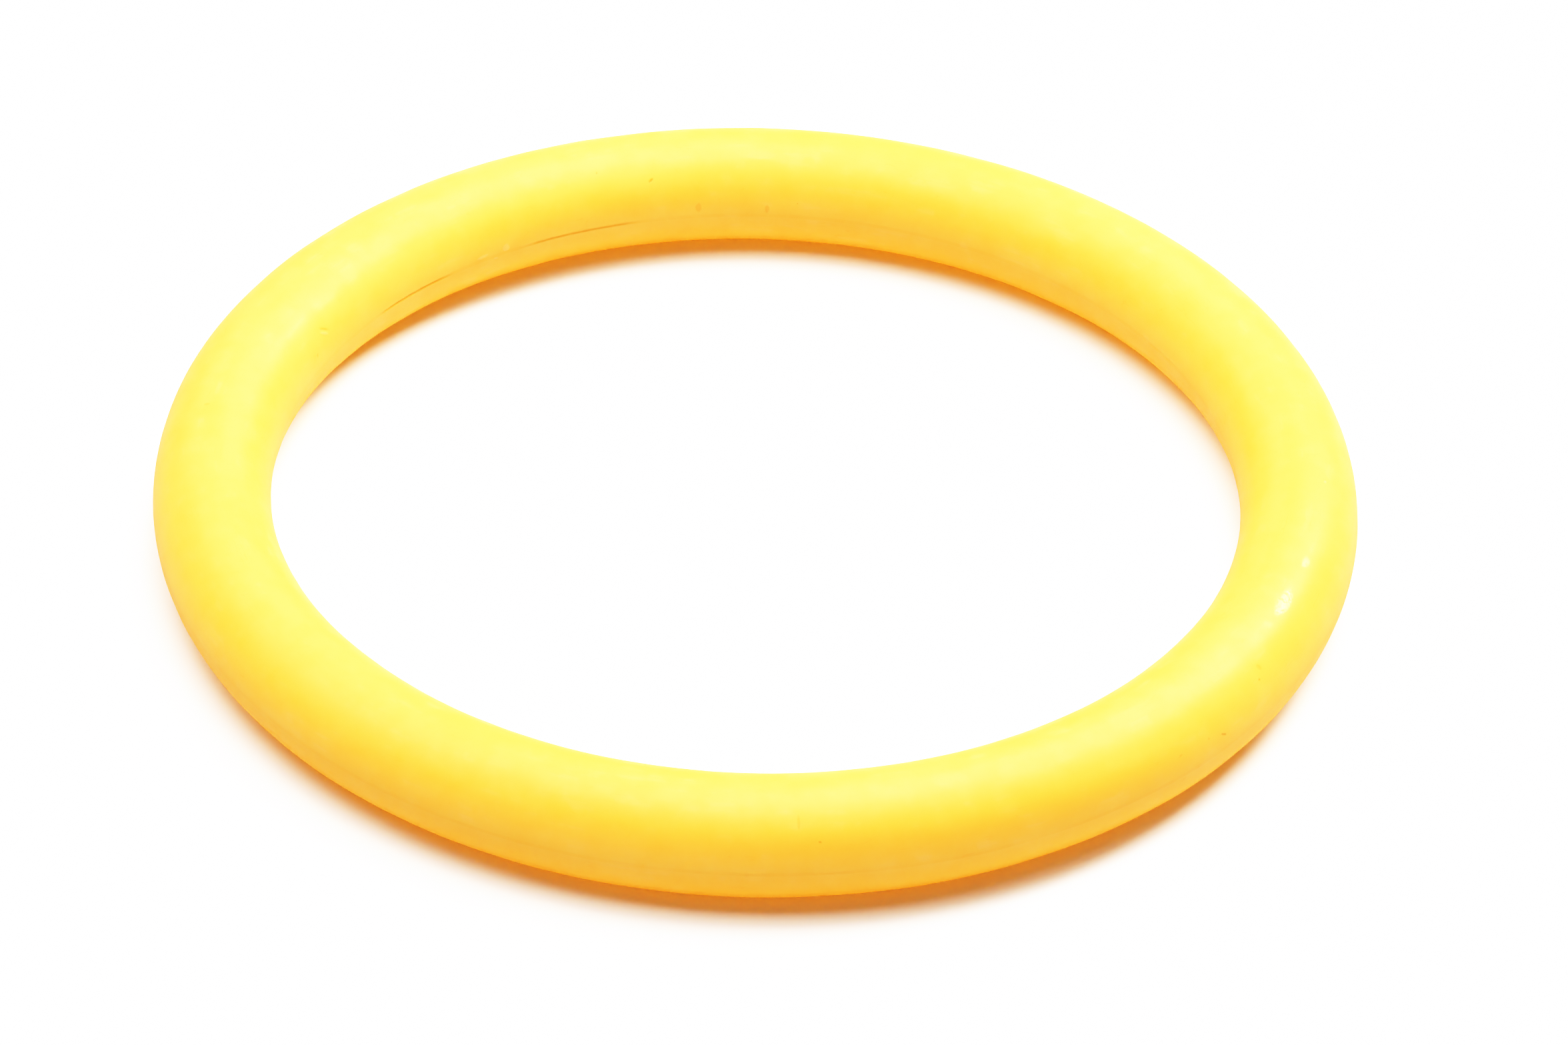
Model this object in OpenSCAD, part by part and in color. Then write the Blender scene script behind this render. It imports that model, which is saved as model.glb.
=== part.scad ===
// Tubular juggling ring: two half shells of a hollow ring, keyed together by a tongue and a groove
// on their inner and outer rims, and closed by a trimmed weld bead in the seam on each side.
// The ring's axis is +Z, and the ring rests on z = 0 with its centre over the origin.

/* [Ring] */
// Outer diameter of the ring
ring_d = 240; // [160:1:320]
// Diameter of the round tube
tube_d = 23.4; // [18:0.1:32]

/* [Shells] */
// Wall thickness of both shells
wall = 1.9; // [1.4:0.1:3]
// Width of the thickened rim where the shells meet
rim_w = 3.4; // [3:0.1:4.5]
// Height of the thickened rim, measured from the seam
rim_h = 3.2; // [2.5:0.1:4.5]

/* [Joint] */
// Width of the tongue on the lower shell
tongue_w = 1.1; // [0.8:0.1:1.4]
// Height of the tongue above the seam
tongue_h = 1.4; // [1:0.1:1.8]
// Clearance round the tongue in its groove
tongue_gap = 0.1; // [0.05:0.05:0.2]
// Depth of the V that the weld bead fills
weld_depth = 0.5; // [0.3:0.05:0.7]
// Half the height of the V at the surface of the tube
weld_half_height = 0.4; // [0.2:0.05:0.6]

/* [Hidden] */
$fn = 128;
tube_r = tube_d / 2;
// Radius of the circle that the middle of the tube follows
centre_r = ring_d / 2 - tube_r;
// Distance from the middle of the tube to the middle of a rim
rim_mid = tube_r - rim_w / 2;
shell_yellow = [0.98, 0.85, 0.20];
bead_yellow = [0.96, 0.76, 0.16];

// Everything above the seam, across the whole tube
module above_seam() {
    translate([-tube_d, 0]) square([2 * tube_d, tube_d]);
}

// Where a rim lies: one each side of the middle of the tube
module on_both_rims() {
    for (side = [-1, 1]) translate([side * rim_mid, 0]) children();
}

// The V of the seam on one side of the tube: -1 is the ring's inside, 1 its outside.
// It ends where the tube does, and reach = 2 carries it on past the surface to cut the shells.
module seam_v(side, reach = 1) {
    mouth = tube_r - weld_depth + reach * weld_depth;
    polygon([
        [side * (tube_r - weld_depth), 0],
        [side * mouth, reach * weld_half_height],
        [side * mouth, -reach * weld_half_height]
    ]);
}

// Half of the tube's section, with its two thickened rims and its share of both seam Vs
module half_section() {
    difference() {
        intersection() {
            circle(r = tube_r);
            above_seam();
            union() {
                difference() {
                    circle(r = tube_r);
                    circle(r = tube_r - wall);
                }
                on_both_rims() translate([-rim_w / 2, 0]) square([rim_w, rim_h]);
            }
        }
        seam_v(-1, reach = 2);
        seam_v(1, reach = 2);
    }
}

// Turns a section of the tube into a ring at its height above the surface it rests on
module ring_of() {
    translate([0, 0, tube_r]) rotate_extrude() translate([centre_r, 0]) children();
}

// Upper half of the tube, with a groove in each rim
module upper_shell() {
    groove_w = tongue_w + 2 * tongue_gap;
    groove_h = tongue_h + 2 * tongue_gap;
    color(shell_yellow) ring_of() difference() {
        half_section();
        on_both_rims() translate([-groove_w / 2, -groove_h]) square([groove_w, 2 * groove_h]);
    }
}

// Lower half of the tube, with a tongue on each rim
module lower_shell() {
    // How far the tongue's root reaches down into the rim
    root = rim_h / 2;
    color(shell_yellow) ring_of() union() {
        mirror([0, 1]) half_section();
        on_both_rims() translate([-tongue_w / 2, -root]) square([tongue_w, root + tongue_h]);
    }
}

// Weld bead that fills the V on one side of the tube. Its face is scraped flat, flush with the tube.
module weld_bead(side) {
    color(bead_yellow) ring_of() seam_v(side);
}

// Weld bead round the outside of the ring
module outer_weld_bead() {
    weld_bead(1);
}

// Weld bead round the inside of the ring
module inner_weld_bead() {
    weld_bead(-1);
}

upper_shell();
lower_shell();
outer_weld_bead();
inner_weld_bead();
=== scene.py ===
# %% [markdown]
# # A tubular juggling ring
# The ring is a hollow plastic tube bent into a circle. It is moulded as two half shells, an upper and a
# lower one, that are keyed together and welded along the equator. This lesson builds the two shells and
# the two weld beads as real meshes, gives them a satin yellow plastic that lets some light through, and
# sets them on a white studio floor.

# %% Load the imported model
from collections import namedtuple
from math import atan2, cos, degrees, hypot, pi, radians, sin

import bpy
from mathutils import Matrix, Vector


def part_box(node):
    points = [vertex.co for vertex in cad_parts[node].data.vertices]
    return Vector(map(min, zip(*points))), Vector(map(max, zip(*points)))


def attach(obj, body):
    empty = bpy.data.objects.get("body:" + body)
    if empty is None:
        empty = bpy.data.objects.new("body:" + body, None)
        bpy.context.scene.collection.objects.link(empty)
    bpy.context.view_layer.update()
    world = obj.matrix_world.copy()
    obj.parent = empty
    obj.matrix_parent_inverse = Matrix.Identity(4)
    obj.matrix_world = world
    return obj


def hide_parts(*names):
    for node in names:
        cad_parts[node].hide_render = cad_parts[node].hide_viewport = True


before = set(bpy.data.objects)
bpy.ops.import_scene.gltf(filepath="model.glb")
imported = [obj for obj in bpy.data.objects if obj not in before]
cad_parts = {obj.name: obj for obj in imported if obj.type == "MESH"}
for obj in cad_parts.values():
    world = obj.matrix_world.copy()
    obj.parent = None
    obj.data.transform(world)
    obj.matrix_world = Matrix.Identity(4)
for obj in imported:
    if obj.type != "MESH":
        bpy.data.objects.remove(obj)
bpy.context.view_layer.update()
print("packed nodes:", sorted(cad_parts))

# %% [markdown]
# ## The joint between the shells
# Each shell has a wall of 1.9 mm and thicker rims where the shells meet. The lower rims carry a tongue
# and the upper rims a groove. Outside them a shallow V is left open for the weld. These are the same
# sizes as in the CAD model.

# %% Sizes of the joint
MM = 0.001
WALL = 1.9 * MM
RIM_W = 3.4 * MM
RIM_H = 3.2 * MM
TONGUE_W = 1.1 * MM
TONGUE_H = 1.4 * MM
TONGUE_GAP = 0.1 * MM
WELD_DEPTH = 0.5 * MM
WELD_HALF_HEIGHT = 0.4 * MM

# %% [markdown]
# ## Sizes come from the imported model
# The outer weld bead touches the ring's outer diameter. The inner bead's box ends at the bottom of its V,
# so the opening is one weld depth smaller. Every other size is worked out from these two, so the meshes
# follow the model if it ever changes.

# %% Measure the ring
ring_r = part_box("outer_weld_bead")[1].x
opening_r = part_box("inner_weld_bead")[1].x - WELD_DEPTH
tube_r = (ring_r - opening_r) / 2
centre_r = (ring_r + opening_r) / 2
seam_z = tube_r
rim_mid = tube_r - RIM_W / 2
bore_r = tube_r - WALL
print(f"ring {ring_r / MM * 2:.2f} mm across, tube {tube_r / MM * 2:.2f} mm thick")

# %% [markdown]
# ## How fine the meshes are
# The skin needs about a point per millimetre to carry dents and waviness. Nobody sees the inside wall, so
# it has far fewer points round the tube.

# %% Steps round the ring and round the tube
AROUND_RING = 960
AROUND_TUBE = 96
INSIDE_STEPS = 5
skin_step = 2 * pi * ring_r / AROUND_RING
print(f"a point every {skin_step / MM:.2f} mm along the outside of the ring")

# %% [markdown]
# ## Small helpers for working in edit mode
# An operator acts on whatever is selected, so each step starts by deselecting everything. Vertices are
# then picked in code by where they are, which is what a hand does with box select.

# %% Select, open and close
def select_only(piece):
    """Leaves one object selected and active."""
    bpy.ops.object.select_all(action="DESELECT")
    piece.select_set(True)
    bpy.context.view_layer.objects.active = piece


def pick(piece, wanted):
    """In object mode, selects the vertices whose place passes a test. Returns how many there are."""
    mesh = piece.data
    for polygon in mesh.polygons:
        polygon.select = False
    for edge in mesh.edges:
        edge.select = False
    count = 0
    for vertex in mesh.vertices:
        vertex.select = wanted(vertex.co)
        count += vertex.select
    return count


def edit(piece):
    """Opens one object in edit mode, working on vertices."""
    select_only(piece)
    bpy.ops.object.mode_set(mode="EDIT")
    bpy.ops.mesh.select_mode(type="VERT")


def close_edit():
    """Goes back to object mode."""
    bpy.ops.object.mode_set(mode="OBJECT")


# %% [markdown]
# ## Drawing the section of a shell
# A round part with the same section all the way round is quickest to make by drawing the section once
# and spinning it about the ring's axis, as on a lathe. The section starts as a circle for the outside
# of the tube. It is cut down to a quarter, and its lower end is then extruded corner by corner round
# the weld V, the tongue or groove and the rim. The inside of the wall is spun on from there.
#
# Known fault: that spin turns down past the seam instead of up to the middle of the tube, so the shell
# isn't closed inside. The sign of its angle is the likely cause, and a fix still has to be tested. The
# skin hides the fault.

# %% Draw half a section
MERGE_GAP = 0.01 * MM


def rim_corners(upper):
    """The corners of a rim, from the V at the outside of the tube to the inside of the wall."""
    if upper:
        key_half, key_end = TONGUE_W / 2 + TONGUE_GAP, TONGUE_H + TONGUE_GAP
    else:
        key_half, key_end = TONGUE_W / 2, -TONGUE_H
    inside_end = (bore_r**2 - RIM_H**2) ** 0.5
    return [
        (tube_r - WELD_DEPTH, 0),
        (rim_mid + key_half, 0),
        (rim_mid + key_half, key_end),
        (rim_mid - key_half, key_end),
        (rim_mid - key_half, 0),
        (tube_r - RIM_W, 0),
        (tube_r - RIM_W, RIM_H),
        (inside_end, RIM_H),
    ]


def extrude_to(start, corners):
    """Extrudes the one selected vertex from start through each corner in turn."""
    x, z = start
    for next_x, next_z in corners:
        step = (next_x - x, 0, next_z - z)
        bpy.ops.mesh.extrude_region_move(TRANSFORM_OT_translate={"value": step})
        x, z = next_x, next_z


def quarter_section(name, upper):
    """A quarter of the tube's section, drawn in the XZ plane with the tube's middle at the origin."""
    bpy.ops.object.select_all(action="DESELECT")
    bpy.ops.mesh.primitive_circle_add(vertices=AROUND_TUBE, radius=tube_r, fill_type="NOTHING")
    piece = bpy.context.object
    piece.name = name
    bpy.ops.object.mode_set(mode="EDIT")
    bpy.ops.mesh.select_all(action="SELECT")
    bpy.ops.transform.rotate(value=pi / 2, orient_axis="X", center_override=(0, 0, 0))
    half_step = pi / AROUND_TUBE
    bpy.ops.transform.rotate(value=half_step, orient_axis="Y", center_override=(0, 0, 0))
    bpy.ops.mesh.bisect(plane_co=(0, 0, WELD_HALF_HEIGHT), plane_no=(0, 0, 1), clear_inner=True)
    bpy.ops.mesh.select_all(action="SELECT")
    bpy.ops.mesh.bisect(plane_co=(0, 0, 0), plane_no=(1, 0, 0), clear_inner=True)
    close_edit()
    low = min(v.co.z for v in piece.data.vertices)
    pick(piece, lambda p: p.z < low + MERGE_GAP)
    start = next(v.co for v in piece.data.vertices if v.select)
    corners = rim_corners(upper)
    edit(piece)
    extrude_to((start.x, start.z), corners)
    end_x, end_z = corners[-1]
    bpy.ops.mesh.spin(
        steps=INSIDE_STEPS,
        angle=-(pi / 2 - atan2(end_z, end_x)),
        center=(0, 0, 0),
        axis=(0, 1, 0),
    )
    close_edit()
    return piece


# %% [markdown]
# ## From a quarter section to a shell
# A Mirror modifier gives the section its other side, and merges the two skins at the middle of the tube.
# The section is moved out to the ring's radius and spun an eighth of a turn about the ring's axis, which
# is then doubled three times to close the ring. Copies that meet lie on each other, so they are merged
# before the normals are turned outwards. With the fault above, that last step can't turn every face of
# the inside wall the right way.

# %% Spin the section into a ring
DOUBLINGS = 3


def apply_modifiers(piece):
    """Applies every modifier of a piece, in order."""
    select_only(piece)
    for modifier in list(piece.modifiers):
        bpy.ops.object.modifier_apply(modifier=modifier.name)


def spin_into_ring(piece):
    """Moves the section out to the tube's circle, spins an eighth of a turn and doubles that up."""
    edit(piece)
    bpy.ops.mesh.select_all(action="SELECT")
    bpy.ops.transform.translate(value=(centre_r, 0, seam_z))
    turn = 2 * pi / 2**DOUBLINGS
    steps = AROUND_RING // 2**DOUBLINGS
    bpy.ops.mesh.spin(steps=steps, angle=turn, center=(0, 0, 0), axis=(0, 0, 1))
    for _ in range(DOUBLINGS):
        bpy.ops.mesh.select_all(action="SELECT")
        bpy.ops.mesh.duplicate()
        bpy.ops.transform.rotate(value=turn, orient_axis="Z", center_override=(0, 0, 0))
        turn *= 2
    bpy.ops.mesh.select_all(action="SELECT")
    bpy.ops.mesh.remove_doubles(threshold=MERGE_GAP)
    bpy.ops.mesh.normals_make_consistent(inside=False)
    close_edit()


def make_shell(name, upper):
    """One half shell, with its rims and its tongues or grooves."""
    piece = quarter_section(name, upper)
    mirror = piece.modifiers.new("other side of the section", "MIRROR")
    mirror.merge_threshold = MERGE_GAP
    apply_modifiers(piece)
    if not upper:
        edit(piece)
        bpy.ops.mesh.select_all(action="SELECT")
        bpy.ops.transform.resize(value=(1, 1, -1), center_override=(0, 0, 0))
        close_edit()
    spin_into_ring(piece)
    print(name, "has", len(piece.data.polygons), "faces")
    return piece


upper_half = make_shell("upper_half", upper=True)
lower_half = make_shell("lower_half", upper=False)

# %% [markdown]
# ## The weld beads
# Where the shells were pressed together hot, plastic squeezed out of the V and was scraped flush. The
# bead is a triangle with a flat face. Its face has a few points across it, so that it can be
# sunk or raised later where the scraping was uneven.

# %% Make the weld beads
FACE_POINTS = 4


def make_bead(name, side):
    """The bead on one side of the tube: side is -1 inside the ring and 1 outside it."""
    bpy.ops.object.select_all(action="DESELECT")
    bpy.ops.mesh.primitive_circle_add(vertices=3, radius=tube_r, fill_type="NOTHING")
    piece = bpy.context.object
    piece.name = name
    mouth = (tube_r**2 - WELD_HALF_HEIGHT**2) ** 0.5
    corners = [(tube_r - WELD_DEPTH, 0), (mouth, WELD_HALF_HEIGHT), (mouth, -WELD_HALF_HEIGHT)]
    for vertex, (x, z) in zip(piece.data.vertices, corners):
        vertex.co = (side * x, 0, z)
    pick(piece, lambda p: abs(p.z) > WELD_HALF_HEIGHT / 2)
    edit(piece)
    bpy.ops.mesh.subdivide(number_cuts=FACE_POINTS)
    close_edit()
    spin_into_ring(piece)
    print(name, "has", len(piece.data.polygons), "faces")
    return piece


outer_bead = make_bead("outer_bead", side=1)
inner_bead = make_bead("inner_bead", side=-1)
pieces = [upper_half, lower_half, outer_bead, inner_bead]

# %% [markdown]
# ## Places on the tube
# A place on the skin is given by two angles. The azimuth goes round the ring, from the right towards the
# back. The tube angle goes round the tube: 0 faces outwards, 90 is the top and 180 faces the middle of
# the ring.

# %% Turn places into angles
SKIN_DEPTH = 0.05 * MM


def angles_of(point):
    """Azimuth and tube angle of a point, in degrees."""
    out = hypot(point.x, point.y) - centre_r
    return degrees(atan2(point.y, point.x)), degrees(atan2(point.z - seam_z, out))


def turn_between(angle, other):
    """The shortest turn from other to angle, in degrees."""
    return (angle - other + 180) % 360 - 180


def on_skin(point):
    """True for a point on the outside of the tube."""
    out = hypot(point.x, point.y) - centre_r
    return hypot(out, point.z - seam_z) > tube_r - SKIN_DEPTH


print("the front of the tube's top is at", angles_of(Vector((0, -centre_r, 2 * tube_r))))

# %% [markdown]
# ## Knocks and trimming scars
# The ring has been used and dropped. It has a few small nicks, two soft dents near the back, and pale
# slivers where moulding flash was cut off at the seam. Each one is a named mark: where it is, how long
# along the tube and how wide across it in millimetres, how far it is turned, and how far it stands up or
# is pressed in. The same list later tells the plastic where it is scuffed, stained or worn shiny, and
# where a painted highlight sits on one raised fleck on the right.

# %% List the marks
Mark = namedtuple("Mark", "azimuth tube_angle length width turn height stain")
marks = {
    "long flash scar": Mark(126.9, 175.5, 4.2, 0.9, 3, 0.16, "pale"),
    "flash scar beside it": Mark(123.5, 174.5, 2.4, 2.4, 20, 0.14, "pale"),
    "flash scar below": Mark(125.0, -177, 1.6, 0.6, -10, 0.1, "pale"),
    "soft dent, left": Mark(98.1, 170, 1.8, 3.0, 0, -0.16, "warm"),
    "soft dent, right": Mark(89.6, 172.5, 1.4, 2.6, 0, -0.14, "warm"),
    "nick on the back": Mark(103.8, 137.5, 1.8, 0.7, 35, -0.14, "dark"),
    "pin prick on the back": Mark(110.1, 121.5, 0.6, 0.6, 0, -0.08, "dark"),
    "nick on the left": Mark(154.5, 147.7, 4.2, 0.7, -33, -0.16, "warm"),
    "lip of the left nick": Mark(154.8, 151, 3.8, 0.8, -33, 0.12, "pale"),
    "small knock on the left": Mark(157.6, 162.6, 1.3, 0.8, 40, -0.1, "warm"),
    "rub on the left": Mark(175.7, 80, 1.2, 1.8, 0, -0.06, "warm"),
    "pin prick in front": Mark(-83.3, 32, 0.7, 0.7, 0, -0.08, "dark"),
    "rub in front": Mark(-85.2, 51, 0.7, 4.6, 0, -0.04, "warm"),
    "pin prick on the right": Mark(-33.8, 37, 0.8, 0.7, 0, -0.1, "dark"),
    "bruise on the right": Mark(-33.0, 46, 1.3, 2.0, 25, -0.06, "warm"),
    "scratch on the right": Mark(-40.6, 15.5, 2.4, 0.5, -30, -0.12, "dark"),
    "short scratch beside it": Mark(-46.4, 21.5, 1.8, 0.5, 12, -0.08, "warm"),
    "fleck on the right": Mark(-42.6, 21, 1.0, 0.8, 0, -0.05, "warm"),
    # The pale stain on this raised fleck is a painted highlight: a small glint painted into the colour.
    "raised fleck with painted glint on the right": Mark(-3.2, 67.5, 0.9, 0.8, 0, 0.14, "pale"),
    "worn shine on the right": Mark(-24.0, 68, 12, 4.6, 4, 0, "gloss"),
    "worn shine further back": Mark(-17.0, 68.5, 5, 2.6, 3, 0, "gloss"),
    "worn shine in front, left": Mark(-101.4, 62, 8, 2.6, 0, 0, "gloss"),
    "worn shine in front": Mark(-95.2, 61.5, 4.5, 2.2, 0, 0, "gloss"),
    "worn shine in front, right": Mark(-86.6, 61.5, 4, 2, 0, 0, "gloss"),
    "worn shine at the back": Mark(90.6, 115, 12, 2.6, 0, 0, "gloss"),
}
print(len(marks), "marks")

# %% [markdown]
# ## Finer skin near the marks
# The skin near each mark is subdivided, and the new points are pushed out to the round of the tube, so
# that a mark has enough points to be a real shape.

# %% Subdivide near the marks
MARK_CUTS = 2
MARK_MARGIN = 1.6 * MM


def reach_in_mark(azimuth, tube_angle, mark, margin=0.0):
    """How far out a place is in a mark: 0 in its middle, 1 at its edge."""
    ring_turn = radians(turn_between(azimuth, mark.azimuth))
    tube_turn = radians(turn_between(tube_angle, mark.tube_angle))
    along = ring_turn * (centre_r + tube_r * cos(radians(mark.tube_angle)))
    across = tube_turn * tube_r
    c, s = cos(radians(mark.turn)), sin(radians(mark.turn))
    half_length = mark.length * MM / 2 + margin
    half_width = mark.width * MM / 2 + margin
    return hypot((c * along + s * across) / half_length, (c * across - s * along) / half_width)


def near_a_mark(point):
    """True for a skin point in a mark or close to it."""
    if not on_skin(point):
        return False
    azimuth, tube_angle = angles_of(point)
    shaped = [mark for mark in marks.values() if mark.height]
    return any(reach_in_mark(azimuth, tube_angle, mark, MARK_MARGIN) < 1 for mark in shaped)


for shell in (upper_half, lower_half):
    picked = pick(shell, near_a_mark)
    edit(shell)
    bpy.ops.mesh.subdivide(number_cuts=MARK_CUTS)
    close_edit()
    for vertex in shell.data.vertices:
        if vertex.select:
            azimuth = atan2(vertex.co.y, vertex.co.x)
            middle = Vector((centre_r * cos(azimuth), centre_r * sin(azimuth), seam_z))
            vertex.co = middle + (vertex.co - middle).normalized() * tube_r
    print(shell.name, "picked", picked, "points, now has", len(shell.data.vertices))

# %% [markdown]
# ## Press and raise the marks
# Every point of a mark gets a weight that fades from the middle to the edge. A Displace modifier with no
# texture then moves each point along its normal by its weight, once for what is pressed in and once for
# what stands up. The same weights are kept as attributes, which the plastic reads as stains.

# %% Weigh and displace the marks
PRESS = 0.3 * MM


def add_displace(piece, name, strength, group="", texture=None, mid_level=0.0):
    """Adds a Displace modifier in the piece's own coordinates."""
    displace = piece.modifiers.new(name, "DISPLACE")
    displace.texture = texture
    displace.texture_coords = "LOCAL"
    displace.strength = strength
    displace.mid_level = mid_level
    displace.vertex_group = group
    return displace


def weigh_marks(piece):
    """Weighs each point by how strongly the marks press, raise and stain it."""
    size = len(piece.data.vertices)
    stains = {kind: [0.0] * size for kind in ("pale", "warm", "dark", "gloss")}
    groups = {kind: piece.vertex_groups.new(name=kind) for kind in ("pressed", "raised")}
    for vertex in piece.data.vertices:
        if not on_skin(vertex.co):
            continue
        azimuth, tube_angle = angles_of(vertex.co)
        for mark in marks.values():
            reach = reach_in_mark(azimuth, tube_angle, mark)
            if reach > 1:
                continue
            share = (1 - reach**2) ** 2
            kind = "raised" if mark.height > 0 else "pressed"
            groups[kind].add([vertex.index], share * abs(mark.height) * MM / PRESS, "ADD")
            stains[mark.stain][vertex.index] += share
    for kind, values in stains.items():
        attribute = piece.data.attributes.new("stain " + kind, "FLOAT", "POINT")
        attribute.data.foreach_set("value", values)
    print(piece.name, "points in a stain:", sum(v > 0 for values in stains.values() for v in values))


for shell in (upper_half, lower_half):
    weigh_marks(shell)
    add_displace(shell, "raise", PRESS, "raised")
    add_displace(shell, "press", -PRESS, "pressed")
    apply_modifiers(shell)

# %% [markdown]
# ## Where the weld shows
# The scraped weld is nearly flush, so most of it can't be seen. Along two stretches of the inside wall it
# was scraped too deep and leaves a fine dark line, and there is a fainter broken one on the outside at
# the front. The middle of the bead's face is sunk there.

# %% Sink the open stretches of the weld
SEAM_SINK = 0.22 * MM
FADE_TURN = 2.5
FACE_MIDDLE = 0.15 * MM
FACE_EDGE = 0.3 * MM
EDGE_SHARE = 0.35
open_stretches = {
    "inner_bead": [(131, 144.5, 1.0), (105, 121.5, 0.8), (28, 36, 0.35), (-160, -148, 0.4)],
    "outer_bead": [(-91.5, -87, 0.35), (-85, -79.5, 0.3), (-6, 8, 0.4), (118, 131, 0.4)],
}


def seam_weight(azimuth, stretches):
    """How deep the weld is sunk at an azimuth: 0 is flush and 1 is deepest."""
    weight = 0
    for start, end, depth in stretches:
        inside = min(turn_between(azimuth, start), turn_between(end, azimuth))
        weight = max(weight, depth * min(1, max(0, inside / FADE_TURN)))
    return weight


for bead in (outer_bead, inner_bead):
    group = bead.vertex_groups.new(name="sunk")
    for vertex in bead.data.vertices:
        height = abs(vertex.co.z - seam_z)
        depth = tube_r - abs(hypot(vertex.co.x, vertex.co.y) - centre_r)
        if height > FACE_EDGE or depth > WELD_DEPTH / 2:
            continue
        across = 1 if height < FACE_MIDDLE else EDGE_SHARE
        azimuth, _ = angles_of(vertex.co)
        group.add([vertex.index], across * seam_weight(azimuth, open_stretches[bead.name]), "REPLACE")
    add_displace(bead, "sink", -SEAM_SINK, "sunk")
    apply_modifiers(bead)
    print(bead.name, "is sunk along", len(open_stretches[bead.name]), "stretches")

# %% [markdown]
# ## A ring is never quite round
# A welded ring cools unevenly and comes out slightly three-cornered. One Lattice bends all four pieces
# together, so they stay in register. Its points are moved outwards or inwards by a slow wave round the
# ring, less than a millimetre either way.

# %% Bend the pieces with a lattice
LATTICE_POINTS = 15
LATTICE_SIZE = 2.16 * ring_r
LATTICE_HEIGHT = 4 * tube_r


def out_of_round(azimuth):
    """How far the ring is pushed out at an azimuth in radians."""
    three_cornered = 0.88 * sin(3 * azimuth + radians(8))
    four_cornered = 0.33 * cos(4 * azimuth + radians(75))
    return (three_cornered + four_cornered) * MM


lattice_data = bpy.data.lattices.new("out of round")
lattice_data.points_u = LATTICE_POINTS
lattice_data.points_v = LATTICE_POINTS
lattice_data.points_w = 2
lattice = bpy.data.objects.new("out of round", lattice_data)
bpy.context.scene.collection.objects.link(lattice)
lattice.scale = (LATTICE_SIZE, LATTICE_SIZE, LATTICE_HEIGHT)
lattice.location.z = seam_z
for point in lattice_data.points:
    azimuth = atan2(point.co.y, point.co.x)
    push = out_of_round(azimuth) / LATTICE_SIZE
    point.co_deform = point.co + Vector((cos(azimuth), sin(azimuth), 0)) * push
bpy.context.view_layer.update()
for piece in pieces:
    bend = piece.modifiers.new("bend", "LATTICE")
    bend.object = lattice
    apply_modifiers(piece)
bpy.data.objects.remove(lattice)
print("upper_half now spans", [round(side / MM, 2) for side in upper_half.dimensions])

# %% [markdown]
# ## A skin that isn't quite smooth
# Thick plastic shrinks as it cools, which leaves low waves in the skin, and the mould was rough-polished,
# which leaves a finer ripple. Both are real shape here, because they are what breaks up the reflections.
# A colour noise moves the points in all three directions, and it is the same for all four pieces, so no
# gap opens at the weld.

# %% Add waves and ripple to the skin
WAVE_SIZE = 14 * MM
WAVE_HEIGHT = 0.16 * MM
RIPPLE_SIZE = 3.2 * MM
RIPPLE_HEIGHT = 0.035 * MM


def cloud(name, size):
    """A colour noise whose lumps are about this size."""
    texture = bpy.data.textures.new(name, "CLOUDS")
    texture.cloud_type = "COLOR"
    texture.noise_scale = size
    texture.noise_depth = 1
    return texture


shrink_waves = cloud("shrink waves", WAVE_SIZE)
mould_ripple = cloud("mould ripple", RIPPLE_SIZE)
for piece in pieces:
    for texture, height in ((shrink_waves, WAVE_HEIGHT), (mould_ripple, RIPPLE_HEIGHT)):
        displace = add_displace(piece, texture.name, height, texture=texture, mid_level=0.5)
        displace.direction = "RGB_TO_XYZ"
    apply_modifiers(piece)
    piece.vertex_groups.clear()
print("waves and ripple on", len(pieces), "pieces")

# %% [markdown]
# ## Hand the pieces to the frame
# Every piece stands for one node of the imported model, which is hidden, and rides on the one rigid body
# that a ring is.

# %% Name what each piece stands for
SHARP_ANGLE = 30
stands_for = {
    "upper_half": ("upper_shell", "shell_plastic"),
    "lower_half": ("lower_shell", "shell_plastic"),
    "outer_bead": ("outer_weld_bead", "weld_plastic"),
    "inner_bead": ("inner_weld_bead", "weld_plastic"),
}
for piece in pieces:
    node, slot_name = stands_for[piece.name]
    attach(piece, "root")
    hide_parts(node)
    select_only(piece)
    bpy.ops.object.shade_smooth_by_angle(angle=radians(SHARP_ANGLE))
    print(piece.name, "replaces", node)

# %% [markdown]
# ## Wiring helpers for the plastic
# A material is a graph of nodes. These helpers add a node, feed a socket with a number or a link, and
# add one step of arithmetic.

# %% Wire nodes
def feed(tree, socket, value):
    """Puts a number on a socket, or links another socket to it."""
    if isinstance(value, bpy.types.NodeSocket):
        tree.links.new(value, socket)
    else:
        socket.default_value = value


def calc(tree, operation, *values):
    """One Math node. Returns its result."""
    node = tree.nodes.new("ShaderNodeMath")
    node.operation = operation
    for socket, value in zip(node.inputs, values):
        feed(tree, socket, value)
    return node.outputs[0]


def fade(tree, value, start, end):
    """0 where value is at start and 1 where it is at end, with a soft step between."""
    node = tree.nodes.new("ShaderNodeMapRange")
    node.interpolation_type = "SMOOTHSTEP"
    feed(tree, node.inputs["Value"], value)
    feed(tree, node.inputs["From Min"], start)
    feed(tree, node.inputs["From Max"], end)
    return node.outputs["Result"]


def new_group(name, inputs, output):
    """A node group with number inputs and one number output. Returns its tree, inputs and output."""
    tree = bpy.data.node_groups.new(name, "ShaderNodeTree")
    for label, value in inputs.items():
        socket = tree.interface.new_socket(name=label, in_out="INPUT", socket_type="NodeSocketFloat")
        socket.default_value = value
    tree.interface.new_socket(name=output, in_out="OUTPUT", socket_type="NodeSocketFloat")
    given = tree.nodes.new("NodeGroupInput").outputs
    result = tree.nodes.new("NodeGroupOutput").inputs[0]
    return tree, given, result


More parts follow.
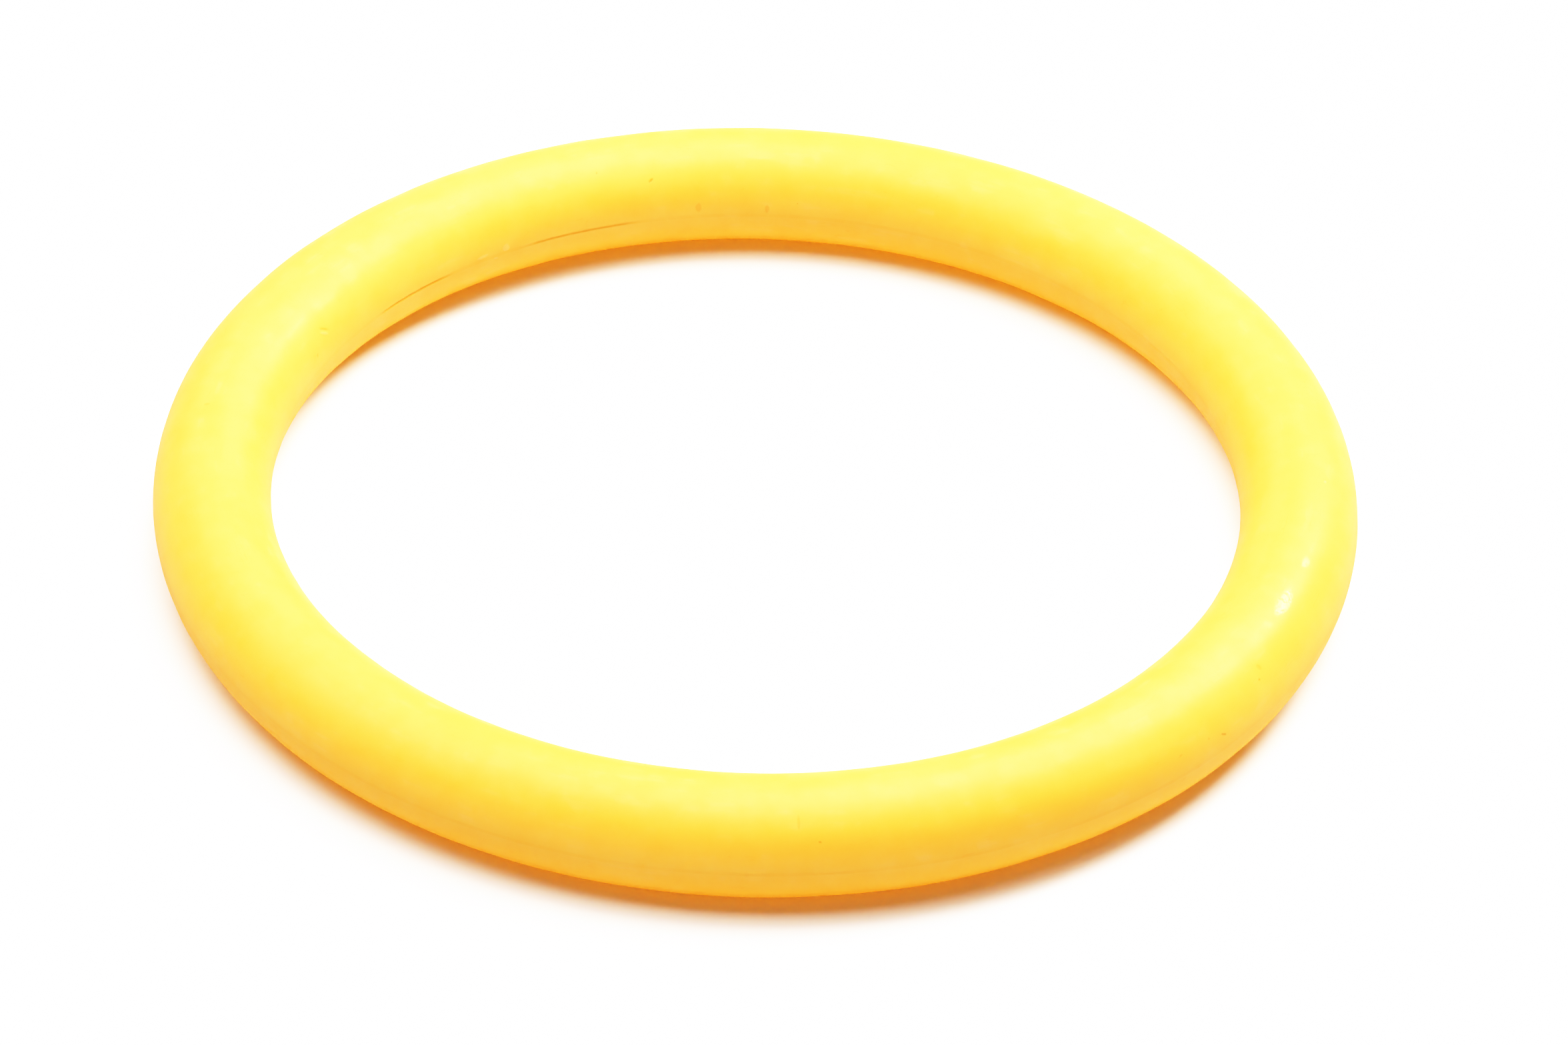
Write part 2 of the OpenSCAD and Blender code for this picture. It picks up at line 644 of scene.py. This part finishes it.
def place_group(tree, name, **values):
    """Puts a group into a material with its own values. Returns its result."""
    node = tree.nodes.new("ShaderNodeGroup")
    node.node_tree = bpy.data.node_groups[name]
    for label, value in values.items():
        feed(tree, node.inputs[label.replace("_", " ")], value)
    return node.outputs[0]


def ring_angles(tree):
    """Nodes that find the azimuth and the tube angle of a place, in radians."""
    place = tree.nodes.new("ShaderNodeTexCoord").outputs["Object"]
    split = tree.nodes.new("ShaderNodeSeparateXYZ")
    tree.links.new(place, split.inputs[0])
    x, y, z = split.outputs
    squares = calc(tree, "ADD", calc(tree, "MULTIPLY", x, x), calc(tree, "MULTIPLY", y, y))
    radius = calc(tree, "SQRT", squares)
    out = calc(tree, "SUBTRACT", radius, centre_r)
    up = calc(tree, "SUBTRACT", z, seam_z)
    return calc(tree, "ARCTAN2", y, x), calc(tree, "ARCTAN2", up, out)


# %% [markdown]
# ## Streaks that follow the tube
# Handling and wiping leave marks that run along the tube. The noise is read on a circle for each of the
# two angles, four numbers in all, so it closes on itself both ways and shows no join.

# %% Make the streak group
streak_inputs = {"Length": 30.0, "Width": 4.0, "Seed": 0.0}
tree, given, result = new_group("streaks along the tube", streak_inputs, "Value")
azimuth, tube_angle = ring_angles(tree)
ring_scale = calc(tree, "DIVIDE", centre_r / MM, given["Length"])
tube_scale = calc(tree, "DIVIDE", tube_r / MM, given["Width"])
place = tree.nodes.new("ShaderNodeCombineXYZ")
streak_x = calc(tree, "MULTIPLY", calc(tree, "COSINE", azimuth), ring_scale)
streak_y = calc(tree, "MULTIPLY", calc(tree, "SINE", azimuth), ring_scale)
streak_z = calc(tree, "MULTIPLY", calc(tree, "COSINE", tube_angle), tube_scale)
streak_w = calc(tree, "MULTIPLY", calc(tree, "SINE", tube_angle), tube_scale)
feed(tree, place.inputs[0], calc(tree, "ADD", streak_x, given["Seed"]))
feed(tree, place.inputs[1], streak_y)
feed(tree, place.inputs[2], streak_z)
noise = tree.nodes.new("ShaderNodeTexNoise")
noise.noise_dimensions = "4D"
feed(tree, noise.inputs["Vector"], place.outputs[0])
feed(tree, noise.inputs["W"], streak_w)
noise.inputs["Scale"].default_value = 1
noise.inputs["Detail"].default_value = 3
noise.inputs["Roughness"].default_value = 0.55
feed(tree, result, noise.outputs[0])
print("streak group has", len(tree.nodes), "nodes")

# %% [markdown]
# ## Moulded grain
# The grain is the fine unevenness of a moulded skin. It has no direction, so a plain noise on the object's
# own coordinates is enough. Read at a larger size, the same group gives a slow mottle in the dye.

# %% Make the grain group
tree, given, result = new_group("moulded grain", {"Size": 1.0}, "Height")
noise = tree.nodes.new("ShaderNodeTexNoise")
place = tree.nodes.new("ShaderNodeTexCoord").outputs["Object"]
feed(tree, noise.inputs["Vector"], place)
feed(tree, noise.inputs["Scale"], calc(tree, "DIVIDE", 1 / MM, given["Size"]))
noise.inputs["Detail"].default_value = 2.5
noise.inputs["Roughness"].default_value = 0.5
feed(tree, result, noise.outputs[0])
print("grain group has", len(tree.nodes), "nodes")

# %% [markdown]
# ## Specks
# A few specks of dirt or burnt plastic sit in the skin. They are far apart and all different, so a Voronoi
# pattern puts one in some of its cells, each with a size of its own.

# %% Make the speck group
tree, given, result = new_group("specks", {"Spacing": 6.0, "Size": 0.3, "Share": 0.3}, "Mask")
cells = tree.nodes.new("ShaderNodeTexVoronoi")
place = tree.nodes.new("ShaderNodeTexCoord").outputs["Object"]
feed(tree, cells.inputs["Vector"], place)
feed(tree, cells.inputs["Scale"], calc(tree, "DIVIDE", 1 / MM, given["Spacing"]))
lot = tree.nodes.new("ShaderNodeSeparateColor")
feed(tree, lot.inputs[0], cells.outputs["Color"])
has_speck = calc(tree, "LESS_THAN", lot.outputs[0], given["Share"])
speck_r = calc(tree, "DIVIDE", calc(tree, "MULTIPLY", given["Size"], lot.outputs[1]), given["Spacing"])
inside_speck = fade(tree, cells.outputs["Distance"], speck_r, calc(tree, "MULTIPLY", speck_r, 0.5))
feed(tree, result, calc(tree, "MULTIPLY", inside_speck, has_speck))
print("speck group has", len(tree.nodes), "nodes")

# %% [markdown]
# ## Hairlines
# Sliding over floors and fingers leaves hairline scratches along the tube. They are drawn as the contour
# lines of a streak noise, and a second noise cuts them into short pieces.

# %% Make the hairline group
CONTOUR = 0.5
GAP_SIZE = 9.0
GAP_START = 0.54
GAP_END = 0.62
hairline_inputs = {"Length": 14.0, "Width": 3.0, "Thickness": 0.02, "Seed": 0.0}
tree, given, result = new_group("hairlines", hairline_inputs, "Mask")
lines = place_group(
    tree,
    "streaks along the tube",
    Length=given["Length"],
    Width=given["Width"],
    Seed=given["Seed"],
)
gaps = place_group(tree, "moulded grain", Size=GAP_SIZE)
off_line = calc(tree, "ABSOLUTE", calc(tree, "SUBTRACT", lines, CONTOUR))
line = fade(tree, off_line, given["Thickness"], 0.0)
feed(tree, result, calc(tree, "MULTIPLY", line, fade(tree, gaps, GAP_START, GAP_END)))
print("hairline group has", len(tree.nodes), "nodes")

# %% [markdown]
# ## The colours
# The dye is one yellow, but it never mixes quite evenly, so each plastic has a deep and a light one.
# Trimming scars and raised lips are pale, rubs are warm and dirt in a nick is dark. The same pale on one
# raised fleck on the right is a painted highlight. The colours are strong, because the bright studio light
# washes them out.

# %% Choose the colours
DEEP_YELLOW = (0.975, 0.68, 0.165, 1)
LIGHT_YELLOW = (0.985, 0.73, 0.2, 1)
WELD_DEEP = (0.97, 0.665, 0.155, 1)
WELD_LIGHT = (0.98, 0.71, 0.185, 1)
INSIDE_YELLOW = (0.985, 0.72, 0.19, 1)
PALE = (0.98, 0.8, 0.38, 1)
WARM = (0.88, 0.4, 0.1, 1)
DARK = (0.42, 0.2, 0.06, 1)
RAGGED = 0.5
STAIN_START = 0.35
STAIN_FULL = 0.8


def mixed(tree, factor, first, second):
    """A colour between two, each a colour or a socket."""
    node = tree.nodes.new("ShaderNodeMix")
    node.data_type = "RGBA"
    feed(tree, node.inputs["Factor"], factor)
    feed(tree, node.inputs["A"], first)
    feed(tree, node.inputs["B"], second)
    return node.outputs["Result"]


def stain(tree, kind, ragged):
    """The stain of one kind that the marks left on the points, with a ragged edge."""
    node = tree.nodes.new("ShaderNodeAttribute")
    node.attribute_name = "stain " + kind
    weight = calc(tree, "MULTIPLY_ADD", ragged, RAGGED, node.outputs["Fac"])
    return fade(tree, weight, STAIN_START, STAIN_FULL)


# %% [markdown]
# ## Light through the wall
# The wall is thin enough to let light through, so the hollow tube is lit from inside and throws an orange
# glow on the floor under it. A Translucent shader mixed in evenly does that. Subsurface scattering would
# not, because it isn't followed once light has bounced off the floor.

# %% Let light through
THROUGH = (1.0, 0.7, 0.05, 1)
THIN_WALL = 0.52


def let_light_through(tree, shader):
    """Mixes in a Translucent shader, so that the thin wall passes some light."""
    through = tree.nodes.new("ShaderNodeBsdfTranslucent")
    through.inputs["Color"].default_value = THROUGH
    both = tree.nodes.new("ShaderNodeMixShader")
    both.inputs["Fac"].default_value = THIN_WALL
    tree.links.new(shader.outputs["BSDF"], both.inputs[1])
    tree.links.new(through.outputs["BSDF"], both.inputs[2])
    tree.links.new(both.outputs["Shader"], tree.nodes["Material Output"].inputs["Surface"])


# %% [markdown]
# ## The yellow plastic
# The plastic is dyed all through and satin. Two close yellows are mixed by the streaks, hairlines are
# warmer, scuffs are paler and rougher, and the marks bring their own stains. Handling has polished it in
# patches, which a thin coat over part of the skin shows. Only the grain goes into a bump, because it is
# too fine to be shape.

# %% Mix the plastic
SATIN_ROUGHNESS = 0.43
FINE_ROUGHNESS = 0.1
SCUFF_ROUGHNESS = 0.12
HAIRLINE_ROUGHNESS = 0.15
PLASTIC_IOR = 1.45
THIN_COAT = 0.02
POLISH = 0.12
WORN_SHINE = 0.52
GRAIN_DEPTH = 0.012 * MM
tint = {"scuff": 0.2, "hairline": 0.16, "speck": 0.5, "warm": 0.4, "pale": 0.45, "dark": 0.6}


def moulded_plastic(name, deep, light, with_marks):
    """Satin yellow plastic between a deep and a light yellow."""
    material = bpy.data.materials.new(name)
    material.use_nodes = True
    tree = material.node_tree
    shader = tree.nodes["Principled BSDF"]

    broad = place_group(tree, "streaks along the tube", Length=60.0, Width=9.0, Seed=3.0)
    fine = place_group(tree, "streaks along the tube", Length=14.0, Width=1.6, Seed=8.0)
    grain = place_group(tree, "moulded grain", Size=0.6)
    mottle = place_group(tree, "moulded grain", Size=5.0)
    hairline = place_group(tree, "hairlines", Length=26.0, Width=3.2, Thickness=0.006, Seed=5.0)
    speck = place_group(tree, "specks", Spacing=7.0, Size=0.34, Share=0.2)
    scuff = calc(tree, "MULTIPLY", fade(tree, fine, 0.52, 0.68), fade(tree, mottle, 0.5, 0.62))

    tone = calc(tree, "ADD", calc(tree, "MULTIPLY", broad, 0.6), calc(tree, "MULTIPLY", mottle, 0.4))
    colour = mixed(tree, fade(tree, tone, 0.36, 0.64), deep, light)
    colour = mixed(tree, calc(tree, "MULTIPLY", scuff, tint["scuff"]), colour, PALE)
    colour = mixed(tree, calc(tree, "MULTIPLY", hairline, tint["hairline"]), colour, WARM)
    colour = mixed(tree, calc(tree, "MULTIPLY", speck, tint["speck"]), colour, DARK)
    if with_marks:
        # The pale stain also paints a highlight on one raised fleck on the right.
        for kind, stained in (("warm", WARM), ("pale", PALE), ("dark", DARK)):
            mark = calc(tree, "MULTIPLY", stain(tree, kind, grain), tint[kind])
            colour = mixed(tree, mark, colour, stained)
    feed(tree, shader.inputs["Base Color"], colour)

    rough = calc(tree, "MULTIPLY_ADD", fine, FINE_ROUGHNESS, SATIN_ROUGHNESS)
    rough = calc(tree, "MULTIPLY_ADD", scuff, SCUFF_ROUGHNESS, rough)
    rough = calc(tree, "MULTIPLY_ADD", hairline, HAIRLINE_ROUGHNESS, rough)
    feed(tree, shader.inputs["Roughness"], rough)

    polish = calc(tree, "MULTIPLY", fade(tree, mottle, 0.42, 0.6), fade(tree, fine, 0.36, 0.6))
    coat = calc(tree, "MULTIPLY_ADD", polish, POLISH, THIN_COAT)
    if with_marks:
        worn = calc(tree, "MULTIPLY", stain(tree, "gloss", fine), fade(tree, grain, 0.3, 0.6))
        coat = calc(tree, "MULTIPLY_ADD", worn, WORN_SHINE, coat)
    feed(tree, shader.inputs["Coat Weight"], coat)
    shader.inputs["Coat Roughness"].default_value = 0.2
    shader.inputs["Coat IOR"].default_value = 1.5

    bump = tree.nodes.new("ShaderNodeBump")
    bump.inputs["Strength"].default_value = 1
    bump.inputs["Distance"].default_value = GRAIN_DEPTH
    feed(tree, bump.inputs["Height"], grain)
    feed(tree, shader.inputs["Normal"], bump.outputs["Normal"])

    shader.inputs["IOR"].default_value = PLASTIC_IOR
    let_light_through(tree, shader)
    print(name, "has", len(tree.nodes), "nodes")
    return material


shell_plastic = moulded_plastic("yellow shell plastic", DEEP_YELLOW, LIGHT_YELLOW, with_marks=True)
weld_plastic = moulded_plastic("yellow weld plastic", WELD_DEEP, WELD_LIGHT, with_marks=False)

# %% [markdown]
# ## The inside of the wall
# Nobody handles the inside of the tube, so it keeps the plain moulded skin: the same yellow with a slight
# mottle, and no scuffs. It is a material of its own on the same mesh. That also keeps the render quick,
# because the light that gets into the tube meets this wall many times.

# %% Make the inside plastic
inside_plastic = bpy.data.materials.new("yellow inside wall")
inside_plastic.use_nodes = True
tree = inside_plastic.node_tree
shader = tree.nodes["Principled BSDF"]
mottle = place_group(tree, "moulded grain", Size=6.0)
feed(tree, shader.inputs["Base Color"], mixed(tree, mottle, DEEP_YELLOW, INSIDE_YELLOW))
shader.inputs["Roughness"].default_value = 0.6
shader.inputs["IOR"].default_value = PLASTIC_IOR
let_light_through(tree, shader)
print(inside_plastic.name, "has", len(tree.nodes), "nodes")

# %% [markdown]
# ## Which plastic goes where
# A shell has two: the handled skin outside, and the plain inside wall on every face that lies deeper than
# half the wall. The weld beads are the same plastic where it melted, so theirs is a touch darker.

# %% Put the plastics on the pieces
for piece in pieces:
    is_shell = piece in (upper_half, lower_half)
    piece.data.materials.append(shell_plastic if is_shell else weld_plastic)
    if is_shell:
        piece.data.materials.append(inside_plastic)
        for face in piece.data.polygons:
            out = hypot(face.center.x, face.center.y) - centre_r
            buried = hypot(out, face.center.z - seam_z) < tube_r - WALL / 2
            face.material_index = int(buried)
    print(piece.name, "is", [material.name for material in piece.data.materials])

# %% [markdown]
# ## The floor
# The ring lies on a sheet of matt white paper. A plain plane is enough, because nothing but the ring's
# soft orange shadow falls on it. It ends where the lights begin to fade, so no grey band shows behind the
# ring from low down.

# %% Lay the floor
FLOOR_SIDE = 3
PAPER_WHITE = (0.85, 0.85, 0.85, 1)
bpy.ops.object.select_all(action="DESELECT")
bpy.ops.mesh.primitive_plane_add(size=FLOOR_SIDE)
floor = bpy.context.object
floor.name = "studio_floor"
paper = bpy.data.materials.new("white floor")
paper.use_nodes = True
shader = paper.node_tree.nodes["Principled BSDF"]
shader.inputs["Base Color"].default_value = PAPER_WHITE
shader.inputs["Roughness"].default_value = 0.9
floor.data.materials.append(paper)
print("floor is", FLOOR_SIDE, "m wide")

# %% [markdown]
# ## Soft studio light
# A glossy tube is lit by what it mirrors, so every light is a large soft box. The key box stands behind
# the ring on the right and gives the one bright glint. A high box beside it and an overhead box lay the
# broad sheen along the top of the tube, and weak fills on the other sides keep the shadow soft and
# coloured. An area light shines evenly from its whole face, as a softbox does.

# %% Set up the softboxes
LIGHT_DISTANCE = 1.6


def softbox(name, azimuth, elevation, width, height, power):
    """An area light that faces the ring from an azimuth and a height above the floor, in degrees."""
    data = bpy.data.lights.new(name, "AREA")
    data.shape = "RECTANGLE"
    data.size = width
    data.size_y = height
    data.energy = power
    lamp = bpy.data.objects.new(name, data)
    bpy.context.scene.collection.objects.link(lamp)
    a, e = radians(azimuth), radians(elevation)
    away = Vector((cos(a) * cos(e), sin(a) * cos(e), sin(e)))
    lamp.location = away * LIGHT_DISTANCE
    lamp.rotation_euler = away.to_track_quat("Z", "Y").to_euler()
    print(name, power, "W")


softbox("key softbox", azimuth=40, elevation=37, width=0.5, height=0.34, power=9.5)
softbox("high key", azimuth=50, elevation=56, width=1.2, height=0.9, power=15.5)
softbox("overhead", azimuth=90, elevation=89, width=1.4, height=1.4, power=14.5)
softbox("ceiling strip", azimuth=90, elevation=87, width=0.6, height=0.22, power=2)
softbox("left fill", azimuth=178, elevation=60, width=1.2, height=0.9, power=7.5)
softbox("back fill", azimuth=120, elevation=32, width=0.8, height=0.6, power=2.5)
softbox("front fill", azimuth=-90, elevation=30, width=1.2, height=0.6, power=0.9)

# %% [markdown]
# ## A white room
# The room gives a faint even light from all sides. Its wall is lit white where the camera looks straight
# at it, past the edge of the floor, which a Light Path node tells apart from the light it gives.

# %% Paint the room
ROOM_LIGHT = 0.1
ROOM_WALL = 1.0
world = bpy.data.worlds.new("white studio")
bpy.context.scene.world = world
world.use_nodes = True
tree = world.node_tree
room = tree.nodes["Background"]
room.inputs["Color"].default_value = (1, 1, 1, 1)
seen = tree.nodes.new("ShaderNodeLightPath").outputs["Is Camera Ray"]
feed(tree, room.inputs["Strength"], calc(tree, "MULTIPLY_ADD", seen, ROOM_WALL - ROOM_LIGHT, ROOM_LIGHT))
print("room light", ROOM_LIGHT)

# %% [markdown]
# ## A bright, contrasty look
# Goods shown on white are exposed until the floor is pure white, and a camera's own curve holds back the
# brightest tones and deepens the darkest. The same curve is drawn here, on top of Blender's plain
# Standard view. Each pair is a tone in the scene and the tone it becomes.

# %% Draw the camera's curve
SHADOW_TONES = ((0.05, 0.025), (0.1, 0.096), (0.2, 0.31))
BRIGHT_TONES = ((0.3, 0.55), (0.45, 0.81), (0.65, 0.965), (0.85, 0.995))
view = bpy.context.scene.view_settings
view.view_transform = "Standard"
view.use_curve_mapping = True
camera_curve = view.curve_mapping.curves[3]
for scene_tone, shown_tone in SHADOW_TONES + BRIGHT_TONES:
    camera_curve.points.new(scene_tone, shown_tone)
view.curve_mapping.update()
print("tone curve with", len(camera_curve.points), "points")

# %% [markdown]
# ## The camera
# The camera looks down at the ring from the front, from a metre and a half away through a long lens, so
# the near and the far side look almost equally thick. It aims a little off the middle of the ring and is
# held very slightly tilted, as a hand would hold it.

# %% Place the camera
CAMERA_ELEVATION = 37.1
CAMERA_DISTANCE = 1.5438
CAMERA_ROLL = 1.76
SENSOR_WIDTH = 36
LENS = 176.8
AIM_RIGHT = 5.8 * MM
AIM_FORWARD = 10.4 * MM
aim = Vector((AIM_RIGHT, -AIM_FORWARD, tube_r))
data = bpy.data.cameras.new("camera")
data.sensor_width = SENSOR_WIDTH
data.lens = LENS
camera = bpy.data.objects.new("camera", data)
bpy.context.scene.collection.objects.link(camera)
e = radians(CAMERA_ELEVATION)
camera.location = (0, -CAMERA_DISTANCE * cos(e), CAMERA_DISTANCE * sin(e))
look = (aim - camera.location).to_track_quat("-Z", "Y").to_matrix()
camera.rotation_euler = (look @ Matrix.Rotation(radians(CAMERA_ROLL), 3, "Z")).to_euler()
bpy.context.scene.camera = camera
print("camera at", [round(side, 3) for side in camera.location])
